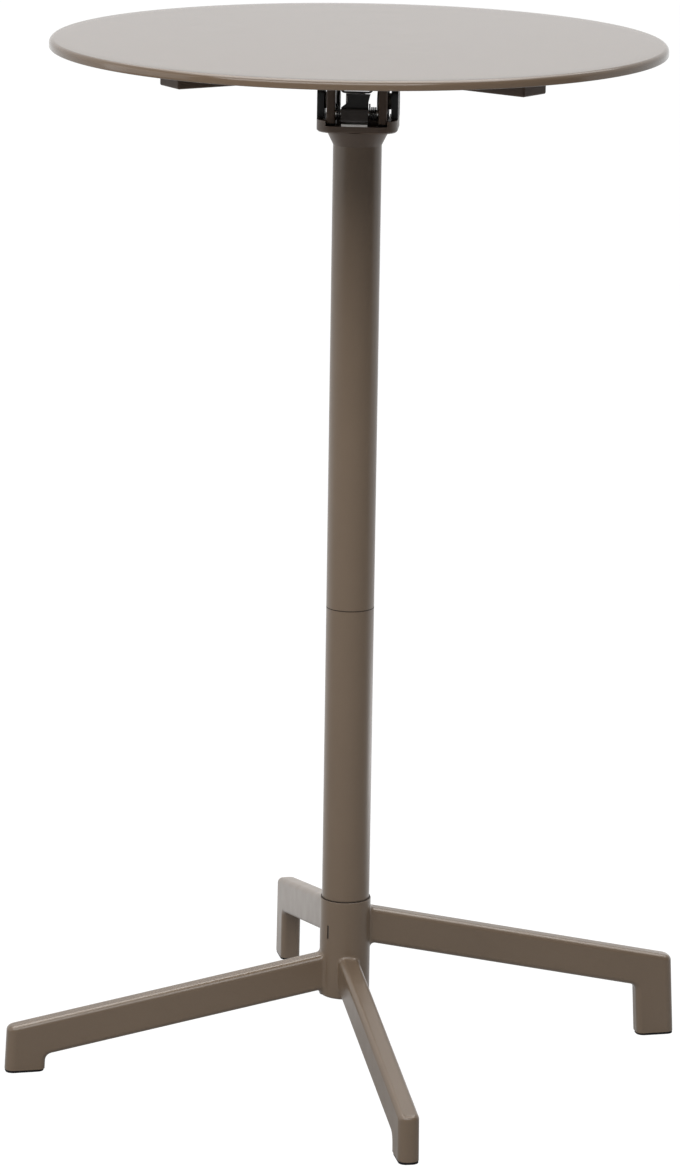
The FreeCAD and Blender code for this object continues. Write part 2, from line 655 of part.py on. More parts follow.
def arc_from(start, heading, end):
    """The arc that leaves start along heading and reaches end."""
    chord = end - start
    across = chord - heading * chord.dot(heading)
    half_turn = math.atan2(across.Length, chord.dot(heading))
    bulge = chord.Length / 2 * math.tan(half_turn / 2)
    sideways = (heading * chord.dot(chord) - chord * heading.dot(chord)).normalize()
    return Part.Arc(start, (start + end) / 2 + sideways * bulge, end).toShape()


def biarc(start, heading, end, end_heading):
    """Two arcs that join start to end and meet smoothly half way."""
    chord = end - start
    turn = 1 - heading.dot(end_heading)
    lead = chord.dot(heading + end_heading)
    arm = (math.sqrt(lead * lead + 2 * turn * chord.dot(chord)) - lead) / (2 * turn)
    middle = (start + heading * arm + end - end_heading * arm) / 2
    middle_heading = (end - end_heading * arm - start - heading * arm).normalize()
    return [arc_from(start, heading, middle), arc_from(middle, middle_heading, end)]


def coil_point(side, turns):
    """A point of the coil and its heading: it winds about the latch pin as it moves out along X."""
    angle = math.pi + 2 * math.pi * turns
    radius, pitch = float(D["spring_radius"]), float(D["spring_pitch"])
    edge_x = float(latch_x) + side * float(D["paddle_width"]) / 2
    first_gap = float(D["spring_side_gap"]) + float(D["spring_wire"]) / 2
    along_x = edge_x + side * (first_gap + pitch * turns)
    place = FreeCAD.Vector(along_x, float(latch_y) + radius * math.cos(angle),
                           float(latch_z) + radius * math.sin(angle))
    per_turn = 2 * math.pi * radius
    heading = FreeCAD.Vector(side * pitch, -per_turn * math.sin(angle), per_turn * math.cos(angle))
    return place, heading.normalize()


def torsion_spring(side, quarter_turns):
    """One unbroken wire: a leg up the front, some turns and a half, and a leg up the back."""
    stations = [coil_point(side, step / 4) for step in range(quarter_turns + 1)]
    first, last = stations[0], stations[-1]
    tail = first[0] - first[1] * float(D["spring_front_leg"])
    tip = last[0] + last[1] * float(D["spring_back_leg"])
    edges = [Part.LineSegment(tail, first[0]).toShape()]
    for (start, heading), (end, end_heading) in zip(stations, stations[1:]):
        edges += biarc(start, heading, end, end_heading)
    edges.append(Part.LineSegment(last[0], tip).toShape())
    path = Part.Wire(edges)
    ring = Part.Wire(Part.Circle(tail, first[1], float(D["spring_wire"]) / 2).toShape())
    return path.makePipeShell([ring], True, False), path


def least_gap(path, wire):
    """The least distance between a wire's own turns, measured on points along its middle line."""
    points = path.discretize(Distance=0.4)
    apart = int(5 * wire / 0.4)
    return min((a - b).Length for index, a in enumerate(points) for b in points[index + apart:]) - wire


def make_springs():
    """A torsion spring on the pin on each side of the latch."""
    made = [torsion_spring(side, SPRING_QUARTER_TURNS[name]) for name, side in SIDES.items()]
    wire = float(D["spring_wire"])
    for shape, path in made:
        print("latch spring: least gap to itself", round(least_gap(path, wire), 3),
              "volume ratio", round(shape.Volume / (math.pi * wire * wire / 4 * path.Length), 4))
    group("latch_springs", [shape for shape, _ in made])


def make_keeper():
    """The bent wire over the latch lever, its ends turned up into the bracket plate."""
    wire_r, bend = float(D["keeper_wire"]) / 2, float(D["keeper_bend"])
    reach, y = float(D["keeper_reach"]), -float(D["keeper_forward"])
    low, high = float(plate_z) - float(D["keeper_drop"]), float(arm_z)
    edges = []
    corner_turn = bend * (1 - math.sqrt(0.5))
    left_low = FreeCAD.Vector(-reach, y, low + bend)
    left_run = FreeCAD.Vector(bend - reach, y, low)
    right_run = FreeCAD.Vector(reach - bend, y, low)
    right_low = FreeCAD.Vector(reach, y, low + bend)
    edges.append(Part.LineSegment(FreeCAD.Vector(-reach, y, high), left_low))
    edges.append(Part.Arc(left_low, FreeCAD.Vector(corner_turn - reach, y, low + corner_turn), left_run))
    edges.append(Part.LineSegment(left_run, right_run))
    edges.append(Part.Arc(right_run, FreeCAD.Vector(reach - corner_turn, y, low + corner_turn), right_low))
    edges.append(Part.LineSegment(right_low, FreeCAD.Vector(reach, y, high)))
    path = Part.Wire([edge.toShape() for edge in edges])
    ring = Part.Circle(FreeCAD.Vector(-reach, y, high), FreeCAD.Vector(0, 0, 1), wire_r)
    single("keeper_wire", path.makePipeShell([Part.Wire(ring.toShape())], True, False))


def make_column():
    """Two lengths of tube on a sleeve, clamped by a tie rod with its washer and nut."""
    seam_z = D["seam_height"]
    for label, low_z, high_z in (("upper_tube", seam_z, collar_z), ("lower_tube", socket_z, seam_z)):
        body = new_body(label)
        revolve(body, (tube_bore_r, low_z), (tube_r, low_z), (tube_r, high_z), (tube_bore_r, high_z))
        chamfer(body, D["seam_bevel"], lambda edge: ring_at(edge, tube_r, seam_z))
    half = D["sleeve_length"] / 2
    outer_r = tube_bore_r - D["sleeve_fit"]
    inner_r = outer_r - D["sleeve_wall"]
    sleeve = new_body("joint_sleeve")
    revolve(sleeve, (inner_r, seam_z - half), (outer_r, seam_z - half), (outer_r, seam_z + half),
            (inner_r, seam_z + half))
    washer_z = web_z - D["washer_wall"]
    nut_z = washer_z - D["nut_height"]
    single("tie_rod", rod(rod_r, (0, 0, web_z - D["rod_tail"]), (0, 0, spigot_z + D["rod_grip"])))
    washer = rod(D["washer_diameter"] / 2, (0, 0, washer_z), (0, 0, web_z))
    single("rod_washer", washer.cut(rod(rod_r + D["rod_fit"], (0, 0, washer_z), (0, 0, web_z))))
    nut = hexagon(D["nut_width"], nut_z, washer_z)
    single("rod_nut", nut.cut(rod(rod_r, (0, 0, nut_z), (0, 0, washer_z))))


def make_hub():
    """The hub: a socket for the lower tube, a web for the tie rod, an upright slot and a plug below."""
    body = new_body("hub")
    socket_r = tube_r + D["hub_socket_fit"]
    plug_r = D["plug_diameter"] / 2
    hole_r = rod_r + D["rod_fit"]
    revolve(body, (plug_r, D["hub_low"]), (hub_r, D["hub_low"]), (hub_r, D["hub_top"]),
            (socket_r, D["hub_top"]), (socket_r, socket_z), (hole_r, socket_z), (hole_r, web_z),
            (plug_r, web_z))
    fillet(body, D["hub_round"], lambda edge: ring_at(edge, hub_r, D["hub_low"]))
    fillet(body, D["hub_lip_round"], lambda edge: ring_at(edge, hub_r, D["hub_top"]))
    half, high_z = D["slot_width"] / 2, D["hub_top"] - D["slot_drop"]
    low_z = high_z - D["slot_length"]
    pocket(body, "YZ_Plane", hub_r, hub_r - tube_r, rectangle(-half, low_z, half, high_z))
    turn_body(body, D["slot_angle"])
    key = new_body("index_key")
    gap = D["key_gap"]
    pad(key, "YZ_Plane", tube_r, hub_r - tube_r - D["key_sink"],
        rectangle(gap - half, low_z + gap, half - gap, high_z - gap))
    turn_body(key, D["slot_angle"])
    plug = new_body("hub_plug")
    skirt_r = plug_r - D["plug_fit"]
    revolve(plug, (0, D["hub_low"]), (skirt_r, D["hub_low"]), (skirt_r, D["hub_low"] + D["plug_skirt"]),
            (skirt_r - D["plug_wall"], D["hub_low"] + D["plug_skirt"]),
            (skirt_r - D["plug_wall"], D["hub_low"] + D["plug_wall"]), (0, D["hub_low"] + D["plug_wall"]))


def make_legs():
    """Four welded legs, two high and two low, each with a glide pressed into its foot."""
    half = D["leg_width"] / 2
    lean = trig("tan", D["foot_splay"])
    floor_z = D["glide_height"]
    for name, (angle, level) in LEGS.items():
        foot_top = D[f"{level}_foot_top"]
        outer_x = D["leg_reach"] - lean * foot_top
        fall = (D["hub_top"] - D[f"{level}_root_drop"] - foot_top) / (outer_x - hub_r)
        inner_foot_x = D["leg_reach"] - D["foot_length"]
        root_x = hub_r / 2
        root_z = foot_top + fall * (outer_x - root_x)
        # the arm's underside falls at the same slope and meets the foot's leaning inner face
        bend_z = (foot_top - D["leg_depth"] + fall * (outer_x - inner_foot_x)) / (1 - fall * lean)
        bend_x = inner_foot_x - lean * bend_z
        leg = new_body(f"leg_{name}")
        pad(leg, "XZ_Plane", -half, D["leg_width"],
            polygon((root_x, root_z), (outer_x, foot_top), (D["leg_reach"] - lean * floor_z, floor_z),
                    (inner_foot_x - lean * floor_z, floor_z), (bend_x, bend_z),
                    (root_x, root_z - D["leg_depth"])))
        fillet(leg, D["bend_round"], lambda edge: along(edge, "Y") and near(edge.BoundBox.ZMax, bend_z))
        fillet(leg, D["toe_round"], lambda edge: near(edge.BoundBox.ZMin, floor_z)
               and near(edge.BoundBox.ZMax, foot_top))
        # the four long edges, which lead on round the toe and down the foot's inner face
        fillet(leg, D["leg_round"], lambda edge: near(edge.BoundBox.XMin, root_x)
               and edge.BoundBox.XLength > D["leg_width"].number)
        pad(leg, "XY_Plane", D["hub_low"], D["hub_top"] - D["hub_low"], circles(hub_r, (0, 0)))
        fillet(leg, D["leg_root"], on_hub)
        pocket(leg, "XY_Plane", D["hub_top"], D["hub_top"] - D["hub_low"], circles(hub_r, (0, 0)))
        peg_x = inner_foot_x + D["foot_length"] / 2 - lean * floor_z
        pocket(leg, "XY_Plane", floor_z + D["glide_peg_length"], D["glide_peg_length"],
               circles(D["glide_peg"] / 2, (peg_x, 0)))
        turn_body(leg, angle)
        glide = new_body(f"glide_{name}")
        inset = D["glide_inset"]
        pad(glide, "XY_Plane", 0, D["glide_height"],
            rectangle(inner_foot_x + inset, inset - half, D["leg_reach"] - inset, half - inset))
        fillet(glide, D["glide_round"], lambda edge: along(edge, "Z"))
        pad(glide, "XY_Plane", floor_z, D["glide_peg_length"] - 1,
            circles(D["glide_peg"] / 2 - D["glide_peg_fit"], (peg_x, 0)))
        turn_body(glide, angle)


def on_hub(edge):
    """Whether an edge lies on the hub's cylinder, away from its two end circles."""
    if edge.Degenerated:
        return False
    on_wall = all(near(math.hypot(point.x, point.y), hub_r) for point in edge.discretize(5))
    flat = edge.BoundBox.ZLength < 1e-4
    at_end = near(edge.BoundBox.ZMax, D["hub_top"]) or near(edge.BoundBox.ZMin, D["hub_low"])
    return on_wall and not (flat and at_end) and not along(edge, "Z")


def write_parts():
    """Checks every object and writes each sub-part to its own file."""
    doc.recompute()
    for item in doc.Objects:
        if any(state in item.State for state in ("Invalid", "Error")):
            raise RuntimeError(f"{item.Label} is in state {item.State}")
    for item in nodes:
        if item.Shape.isNull() or not item.Shape.isValid():
            raise RuntimeError(f"{item.Label} has no valid shape")
    os.makedirs("parts", exist_ok=True)
    for item in nodes:
        item.Shape.exportStep(os.path.join("parts", item.Label + ".step"))
    print(len(nodes), "sub-parts written")


make_tabletop()
make_arms()
make_arm_fasteners()
make_bracket()
make_posts()
make_pivot()
make_ears()
make_head()
make_bumpers()
make_strike()
make_latch()
make_springs()
make_keeper()
make_column()
make_hub()
make_legs()
write_parts()
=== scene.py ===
"""Looks of a folding bar table: finishes, small made pieces, floor, light and camera."""
import json
import math

import bmesh
import bpy
import numpy as np
from bpy.props import FloatProperty, FloatVectorProperty, IntProperty, PointerProperty
from mathutils import Matrix, Vector


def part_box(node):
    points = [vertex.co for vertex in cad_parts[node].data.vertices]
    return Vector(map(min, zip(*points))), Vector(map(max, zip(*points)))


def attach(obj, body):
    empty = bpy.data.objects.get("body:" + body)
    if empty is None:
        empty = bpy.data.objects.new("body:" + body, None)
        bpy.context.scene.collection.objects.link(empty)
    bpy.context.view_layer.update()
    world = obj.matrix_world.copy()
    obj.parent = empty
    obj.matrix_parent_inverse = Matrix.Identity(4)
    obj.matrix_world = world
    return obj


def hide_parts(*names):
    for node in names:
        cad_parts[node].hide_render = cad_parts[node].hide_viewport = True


bl_info = {
    "name": "Folding bar table",
    "version": (1, 0, 0),
    "blender": (4, 5, 0),
    "location": "View3D > Sidebar > Bar table",
    "description": "Finishes, small pieces and a studio for a round tip-up bar table",
    "category": "Object",
}

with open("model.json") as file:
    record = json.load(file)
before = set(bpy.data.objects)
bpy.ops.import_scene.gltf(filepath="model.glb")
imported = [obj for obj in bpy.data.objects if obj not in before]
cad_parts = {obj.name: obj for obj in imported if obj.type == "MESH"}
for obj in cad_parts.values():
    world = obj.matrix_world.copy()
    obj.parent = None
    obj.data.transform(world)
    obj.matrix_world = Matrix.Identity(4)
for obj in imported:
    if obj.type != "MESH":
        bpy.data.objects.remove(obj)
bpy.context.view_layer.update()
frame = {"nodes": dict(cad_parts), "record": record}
SLOT_OF = {entry["node"]: entry["material_slot"] for entry in frame["record"]["subparts"]}
FINISHES = {}

# True radii in metres. The solids' meshes have flat facets, so their boxes can fall a little short.
TOP_RADIUS = 0.32
TUBE_RADIUS = 0.0254

# Points along each run of the tabletop's profile.
FLAT_POINTS = 24
BEND_POINTS = 12
HEM_POINTS = 9
INNER_BEND_POINTS = 9

# Points nearer to each other than this, in metres, become one.
MERGE_DISTANCE = 1e-6

# Depths of fine relief in metres.
FINE_GRAIN = 0.00001
NYLON_GRAIN = 0.00002
RUBBER_GRAIN = 0.00003

# Nearly all of a noise value lies in this span.
NOISE_SPAN = (0.3, 0.7)

WHITE = (1, 1, 1, 1)

# How far the floor reaches from the column, in metres.
FLOOR_REACH = 30.0

# The floor's glow. Times its share this is about 1, plain white.
GLOW_STRENGTH = 1.19

# Where the studio that reflections see changes its level. A heading's Y is -1 towards the eye and 1
# towards the back, and its Z is 1 straight up. The floor's span is in metres behind the column.
EYE_SIDE_SPAN = (-0.3, 0.4)
CEILING_HEIGHT_SPAN = (0.7, 0.9)
CEILING_BACK_SPAN = (-0.35, 0)
FLOOR_SPAN = (-0.2, 0.7)

# Softboxes in metres: where each stands, the point that it faces, and its width and height.
SOFTBOXES = {
    "back": {"place": (0.3, 2.0, 3.5), "target": (0, 0, 0.7), "size": (4.0, 1.4)},
    "front": {"place": (-0.5, -2.8, 3.4), "target": (0, 0, 0.6), "size": (5.0, 2.0)},
    "left_side": {"place": (-3.2, -0.6, 1.5), "target": (0, 0, 0.6), "size": (2.6, 2.4)},
    "right_side": {"place": (0.62, 0.62, 0.11), "target": (0, 0, 0.15), "size": (0.6, 0.2)},
}

# Height of the lens's frame in millimetres, and how far it sees in metres.
LENS_FRAME = 36
SIGHT_LIMIT = 100


def tone_property(name, description, default):
    """A colour that a user may change."""
    return FloatVectorProperty(name=name, description=description, subtype="COLOR", size=3, min=0, max=1,
                               default=default)


def length_property(name, description, default):
    """A length in metres that a user may change."""
    return FloatProperty(name=name, description=description, subtype="DISTANCE", unit="LENGTH", min=0,
                         precision=5, default=default)


def angle_property(name, description, degrees):
    """An angle that a user may change."""
    return FloatProperty(name=name, description=description, subtype="ANGLE",
                         default=math.radians(degrees))


def power_property(name, description, watts):
    """A lamp's power that a user may change."""
    return FloatProperty(name=name, description=description, subtype="POWER", min=0, default=watts)


def number_property(name, description, default, low=0, high=1):
    """A plain number that a user may change."""
    return FloatProperty(name=name, description=description, min=low, max=high, default=default)


def count_property(name, description, default, low, high):
    """A whole number that a user may change."""
    return IntProperty(name=name, description=description, min=low, max=high, default=default)


class CoatSettings(bpy.types.PropertyGroup):
    """Tones and texture of the powder coat."""
    frame_tone: tone_property("Frame tone", "Taupe of column, hub and legs", (0.155, 0.111, 0.075))
    # Painted shade: a darker copy of the frame tone, standing in for the shade under the tabletop on the
    # arms, bosses, bracket and posts.
    under_shade_tone: tone_property("Underframe tone", "Dark taupe of arms and posts", (0.085, 0.058, 0.042))
    # Painted shade: a darker copy of the frame tone for the head socket, standing in for the shade under
    # the tabletop.
    head_shade_tone: tone_property("Head tone", "Taupe of the tilting head", (0.115, 0.080, 0.057))
    # Painted shade: the dark brown of the seam rings stands in for the shadow in the gaps of the column's
    # seams.
    seam_shade_tone: tone_property("Seam tone", "Dark brown in the column's seams", (0.030, 0.021, 0.015))
    top_tone: tone_property("Top tone", "Taupe of the tabletop sheet", (0.146, 0.102, 0.068))
    cloud: number_property("Cloud", "How far the coat's tone drifts over the surface", 0.03, high=0.3)
    fleck: number_property("Fleck", "How far single grains differ in tone", 0.03, high=0.3)
    peel_depth: length_property("Peel depth", "Height of the coat's soft ripple", 0.00001)
    grain_depth: length_property("Grain depth", "Height of the coat's fine grain", 0.00001)


class FittingSettings(bpy.types.PropertyGroup):
    """Tones of the fittings."""
    black_tone: tone_property("Black nylon", "Ears, glides, plug and pivot caps", (0.012, 0.012, 0.0125))
    grey_tone: tone_property("Grey nylon", "Thumb paddle", (0.048, 0.042, 0.039))
    steel_tone: tone_property("Black steel", "Lever, springs, keeper and key", (0.016, 0.015, 0.0145))
    zinc_tone: tone_property("Zinc", "Screws, nuts, pin, rod, sleeve and strike", (0.80, 0.78, 0.745))
    pale_tone: tone_property("Pale nylon", "Pivot bushes", (0.66, 0.64, 0.57))
    rubber_tone: tone_property("Rubber", "Stops under the posts", (0.022, 0.021, 0.02))


class TopSettings(bpy.types.PropertyGroup):
    """Sizes of the tabletop's sheet."""
    sheet_wall: length_property("Sheet", "Thickness of the pressed sheet", 0.002)
    rim_round: length_property("Rim round", "Outer radius of the pressed edge", 0.005)
    segments: count_property("Segments", "Steps round the rim", 360, low=64, high=720)


class RingSettings(bpy.types.PropertyGroup):
    """Sizes of the dark rings of painted shade in the column's seams."""
    proud: length_property("Proud", "How far a ring stands out of the tube", 0.00008)
    groove: length_property("Groove", "Depth and half height of the ring in the tubes' seam", 0.0005)
    hub_width: length_property("Hub width", "Width of the ring on the hub", 0.0010)
    hub_height: length_property("Hub height", "Height of the ring on the hub", 0.0013)
    segments: count_property("Segments", "Steps round the column", 96, low=32, high=360)


class StageSettings(bpy.types.PropertyGroup):
    """Camera, floor and light."""
    focal_length: number_property("Focal length", "Lens in mm for a 36 mm high frame", 158.391,
                                  low=20, high=400)
    distance: length_property("Distance", "From the column's axis to the eye", 5.3277)
    eye_height: length_property("Eye height", "Height of the eye above the floor", 1.7723)
    azimuth: angle_property("Azimuth", "Turn of the eye about the column", 3)
    pitch: angle_property("Pitch", "Downward tilt", 13.286)
    yaw: angle_property("Yaw", "Sideways turn", -0.119)
    roll: angle_property("Roll", "Tilt of the frame", 0.88)
    floor_tone: tone_property("Floor", "Pale floor", (0.45, 0.45, 0.45))
    floor_glow: number_property("Floor glow", "Share of plain white in the floor as seen", 0.84)
    ambient: number_property("Ambient", "Light from all round", 0.17, high=2)
    eye_side: number_property("Eye side", "Level of the studio behind the eye in reflections", 0.12)
    ceiling: number_property("Ceiling", "Level of the ceiling at the back in reflections", 6.5,
                             low=1, high=20)
    back: power_property("Back", "Power of the softbox high at the back", 42)
    front: power_property("Front", "Power of the large softbox at the front", 162)
    left_side: power_property("Left side", "Power of the softbox at the left", 25)
    right_side: power_property("Right side", "Power of the small low softbox at the right", 0.5)


class TableSettings(bpy.types.PropertyGroup):
    """All settings of the table."""
    coat: PointerProperty(type=CoatSettings)
    fittings: PointerProperty(type=FittingSettings)
    top: PointerProperty(type=TopSettings)
    rings: PointerProperty(type=RingSettings)
    stage: PointerProperty(type=StageSettings)


def start_finish(name):
    """A new node material: the material, its tree, its shader and its object coordinates."""
    finish = bpy.data.materials.new(name)
    finish.use_nodes = True
    tree = finish.node_tree
    shader = tree.nodes["Principled BSDF"]
    place = tree.nodes.new("ShaderNodeTexCoord").outputs["Object"]
    return finish, tree, shader, place


def noise(tree, place, scale, detail, stretch=None):
    """Noise of so many waves a metre, drawn out along an axis where stretch is given."""
    if stretch is not None:
        mapping = tree.nodes.new("ShaderNodeMapping")
        mapping.inputs["Scale"].default_value = stretch
        tree.links.new(place, mapping.inputs["Vector"])
        place = mapping.outputs["Vector"]
    node = tree.nodes.new("ShaderNodeTexNoise")
    node.inputs["Scale"].default_value = scale
    node.inputs["Detail"].default_value = detail
    tree.links.new(place, node.inputs["Vector"])
    return node.outputs["Fac"]


def remap(tree, value, span, low, high, interpolation="LINEAR"):
    """A value taken from its span, a start and an end, to low..high."""
    node = tree.nodes.new("ShaderNodeMapRange")
    node.interpolation_type = interpolation
    start, end = span
    for name, number in (("From Min", start), ("From Max", end), ("To Min", low), ("To Max", high)):
        node.inputs[name].default_value = number
    tree.links.new(value, node.inputs["Value"])
    return node.outputs["Result"]


def spread(tree, value, low, high):
    """A noise value spread over low..high."""
    return remap(tree, value, NOISE_SPAN, low, high)


def shaded(tone, factor):
    """A tone made darker or lighter, with alpha."""
    return tuple(min(1.0, channel * factor) for channel in tone) + (1.0,)


def two_tone(tree, value, tone, reach):
    """A colour that goes from darker to lighter than the tone by reach as a noise value rises."""
    ramp = tree.nodes.new("ShaderNodeValToRGB")
    low, high = ramp.color_ramp.elements
    low.position, high.position = NOISE_SPAN
    low.color = shaded(tone, 1 - reach)
    high.color = shaded(tone, 1 + reach)
    tree.links.new(value, ramp.inputs["Fac"])
    return ramp.outputs["Color"]


def multiplied(tree, colour, value):
    """A colour times a value."""
    node = tree.nodes.new("ShaderNodeMix")
    node.data_type = "RGBA"
    node.blend_type = "MULTIPLY"
    node.inputs["Factor"].default_value = 1.0
    tree.links.new(colour, node.inputs["A"])
    tree.links.new(value, node.inputs["B"])
    return node.outputs["Result"]


def relief(tree, value, depth, below=None):
    """Bump of a given depth, laid over another where one is given."""
    node = tree.nodes.new("ShaderNodeBump")
    node.inputs["Strength"].default_value = 1.0
    node.inputs["Distance"].default_value = depth
    tree.links.new(value, node.inputs["Height"])
    if below is not None:
        tree.links.new(below, node.inputs["Normal"])
    return node.outputs["Normal"]


def powder_coat(name, tone, roughness, texture=1.0, sheen=0.5):
    """Baked powder coat with fine flecks. Texture scales its drifting tone, patches, ripple and grain."""
    settings = bpy.context.scene.bar_table.coat
    finish, tree, shader, place = start_finish(name)
    cloud = noise(tree, place, scale=9, detail=3)
    grains = noise(tree, place, scale=1500, detail=1)
    fleck = spread(tree, grains, low=1 - settings.fleck, high=1 + settings.fleck)
    colour = multiplied(tree, two_tone(tree, cloud, tone, settings.cloud * texture), fleck)
    tree.links.new(colour, shader.inputs["Base Color"])
    shader.inputs["Specular IOR Level"].default_value = sheen
    dulling = 0.025 * texture
    patches = noise(tree, place, scale=45, detail=3)
    tree.links.new(spread(tree, patches, low=roughness - dulling, high=roughness + dulling),
                   shader.inputs["Roughness"])
    ripple = relief(tree, noise(tree, place, scale=380, detail=1), settings.peel_depth * texture)
    grain = relief(tree, noise(tree, place, scale=1900, detail=1), settings.grain_depth * texture, ripple)
    tree.links.new(grain, shader.inputs["Normal"])
    return finish


def moulded(name, tone, roughness, grain=NYLON_GRAIN, sheen=0.5):
    """Moulded nylon or rubber: an even grain of a given depth with faint flow clouds and dull patches."""
    finish, tree, shader, place = start_finish(name)
    flow = noise(tree, place, scale=60, detail=3, stretch=(1.0, 1.0, 0.35))
    tree.links.new(two_tone(tree, flow, tone, reach=0.16), shader.inputs["Base Color"])
    dulling = 0.06
    patches = noise(tree, place, scale=300, detail=2)
    tree.links.new(spread(tree, patches, low=roughness - dulling, high=roughness + dulling),
                   shader.inputs["Roughness"])
    tree.links.new(relief(tree, noise(tree, place, scale=1700, detail=2), grain), shader.inputs["Normal"])
    shader.inputs["Specular IOR Level"].default_value = sheen
    return finish


def plated(name, tone, roughness):
    """Zinc plate: metal with faint rolling marks, passivation clouds and dull patches."""
    finish, tree, shader, place = start_finish(name)
    shader.inputs["Metallic"].default_value = 1.0
    cloud = noise(tree, place, scale=110, detail=3)
    marks = noise(tree, place, scale=700, detail=3, stretch=(0.06, 1.0, 1.0))
    streaks = spread(tree, marks, low=0.93, high=1.05)
    colour = multiplied(tree, two_tone(tree, cloud, tone, reach=0.1), streaks)
    tree.links.new(colour, shader.inputs["Base Color"])
    polishing, dulling = 0.07, 0.1
    tree.links.new(spread(tree, marks, low=roughness - polishing, high=roughness + dulling),
                   shader.inputs["Roughness"])
    tree.links.new(relief(tree, marks, FINE_GRAIN), shader.inputs["Normal"])
    return finish


def oxide(name, tone):
    """Black oxide on steel: nearly black, slightly oily, with worn lighter clouds."""
    finish, tree, shader, place = start_finish(name)
    shader.inputs["Metallic"].default_value = 0.35
    wear = noise(tree, place, scale=150, detail=4)
    tree.links.new(two_tone(tree, wear, tone, reach=0.35), shader.inputs["Base Color"])
    tree.links.new(spread(tree, wear, low=0.36, high=0.52), shader.inputs["Roughness"])
    grain = relief(tree, noise(tree, place, scale=1300, detail=2), FINE_GRAIN)
    tree.links.new(grain, shader.inputs["Normal"])
    return finish


def make_finish(name):
    """Makes the finish of that name: a slot of the record, or for some of its pieces a darker one with
    painted shade.
    """
    settings = bpy.context.scene.bar_table
    coat, tones = settings.coat, settings.fittings
    makers = {
        "tabletop_coat": lambda: powder_coat(name, coat.top_tone, roughness=0.14, texture=0.3, sheen=0.4),
        "taupe_coat": lambda: powder_coat(name, coat.frame_tone, roughness=0.3),
        # Painted shade: the underframe's darker, duller copy of the frame coat stands in for the shade
        # under the tabletop.
        "underframe_coat": lambda: powder_coat(name, coat.under_shade_tone, roughness=0.5, sheen=0.25),
        # Painted shade: the head's darker copy of the frame coat stands in for the shade under the
        # tabletop.
        "head_coat": lambda: powder_coat(name, coat.head_shade_tone, roughness=0.4, sheen=0.4),
        # Painted shade: the seam rings' dark coat stands in for the shadow in the column's seams.
        "seam_coat": lambda: powder_coat(name, coat.seam_shade_tone, roughness=0.6, sheen=0.2),
        "glide_nylon": lambda: moulded(name, tones.black_tone, roughness=0.6, sheen=0.1),
        "black_nylon": lambda: moulded(name, tones.black_tone, roughness=0.5),
        "grey_nylon": lambda: moulded(name, tones.grey_tone, roughness=0.46),
        "black_steel": lambda: oxide(name, tones.steel_tone),
        "bright_steel": lambda: plated(name, tones.zinc_tone, roughness=0.34),
        "pale_nylon": lambda: moulded(name, tones.pale_tone, roughness=0.42, grain=FINE_GRAIN),
        "stop_rubber": lambda: moulded(name, tones.rubber_tone, roughness=0.66, grain=RUBBER_GRAIN),
    }
    return makers[name]()


def finish_for(name):
    """The finish of that name, made when it is first asked for."""
    if name not in FINISHES:
        FINISHES[name] = make_finish(name)
    return FINISHES[name]


def dress(*nodes, finish=None):
    """Gives CAD nodes the named finish, or that of their slots."""
    for node in nodes:
        slots = frame["nodes"][node].data.materials
        slots.clear()
        slots.append(finish_for(finish or SLOT_OF[node]))


def grid_faces(rows, columns):
    """Quads of a grid of rows by columns of points."""
    index = np.arange(rows * columns).reshape(rows, columns)
    corners = (index[:-1, :-1], index[1:, :-1], index[1:, 1:], index[:-1, 1:])
    return np.stack(corners, axis=-1).reshape(-1, 4)


def surface(name, grid, slot, finish=None):
    """A smooth closed piece from a grid of points, its seam and poles merged and its faces outwards."""
    rows, columns = grid.shape[:2]
    mesh = bpy.data.meshes.new(name)
    mesh.from_pydata(grid.reshape(-1, 3).tolist(), [], grid_faces(rows, columns).tolist())
    work = bmesh.new()
    work.from_mesh(mesh)
    bmesh.ops.remove_doubles(work, verts=work.verts, dist=MERGE_DISTANCE)
    bmesh.ops.recalc_face_normals(work, faces=work.faces)
    work.to_mesh(mesh)
    work.free()
    mesh.polygons.foreach_set("use_smooth", np.ones(len(mesh.polygons), dtype=bool))
    piece = bpy.data.objects.new(name, mesh)
    bpy.context.scene.collection.objects.link(piece)
    mesh.materials.append(finish_for(finish or slot))
    return piece


def level_run(start, end, height, points):
    """Points of a level line in a profile: radius from start to end at one height."""
    return np.stack([np.linspace(start, end, points), np.full(points, height)], axis=1)


def arc(centre, radius, start, end, points):
    """Points of an arc in a profile: centre + radius (cos a, sin a), a from start to end in degrees."""
    angle = np.radians(np.linspace(start, end, points))
    return np.stack([centre[0] + radius * np.cos(angle), centre[1] + radius * np.sin(angle)], axis=1)


def lathe(profile, segments):
    """A profile of (radius, height) turned about Z: (r cos a, r sin a, z) with a round the full turn."""
    angle = np.linspace(0, 2 * np.pi, segments + 1)[:, None]
    radius, height = profile[None, :, 0], profile[None, :, 1]
    return np.stack([radius * np.cos(angle), radius * np.sin(angle), height + 0 * angle], axis=-1)


